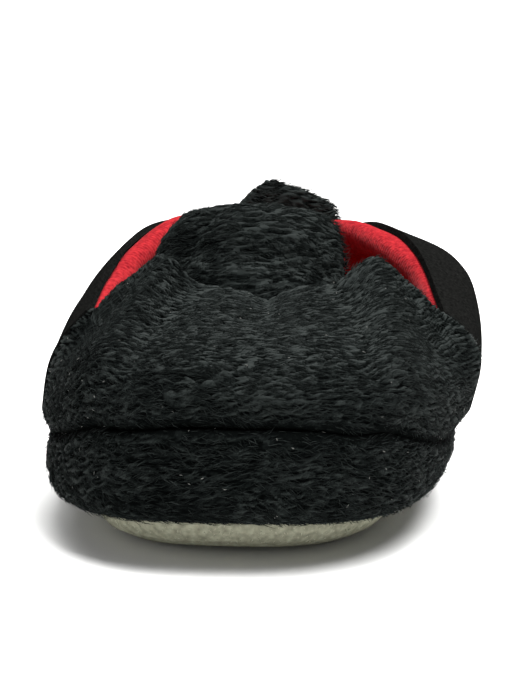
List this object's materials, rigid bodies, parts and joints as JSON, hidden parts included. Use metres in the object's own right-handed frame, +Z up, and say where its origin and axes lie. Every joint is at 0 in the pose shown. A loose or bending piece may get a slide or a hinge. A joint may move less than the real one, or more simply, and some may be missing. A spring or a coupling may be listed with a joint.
{
  "type": "baby slipper",
  "caption": "Soft plush baby slipper with puffy seamed toe, upright tongue, ribbed collar binding, heel tab and padded fabric sole",
  "frame": {"origin": "centre of the bounding box, on the plane of the sole's underside", "axes": "+Z up from the sole, +Y from the toe to the heel, +X to the right of someone who faces the toe"},
  "size_m": [0.0771, 0.1229, 0.0519],
  "materials": {
    "sole_fabric": "cream brushed fabric over padding",
    "lining": "red knit lining",
    "black_plush": "black plush with a short soft pile",
    "red_rib": "red rib knit"
  },
  "bodies": {
    "root": {"sole": "sole_fabric", "insole": "lining", "upper": "black_plush", "tongue": "black_plush", "collar_binding": "red_rib", "heel_tab": "black_plush"}
  },
  "joints": []
}
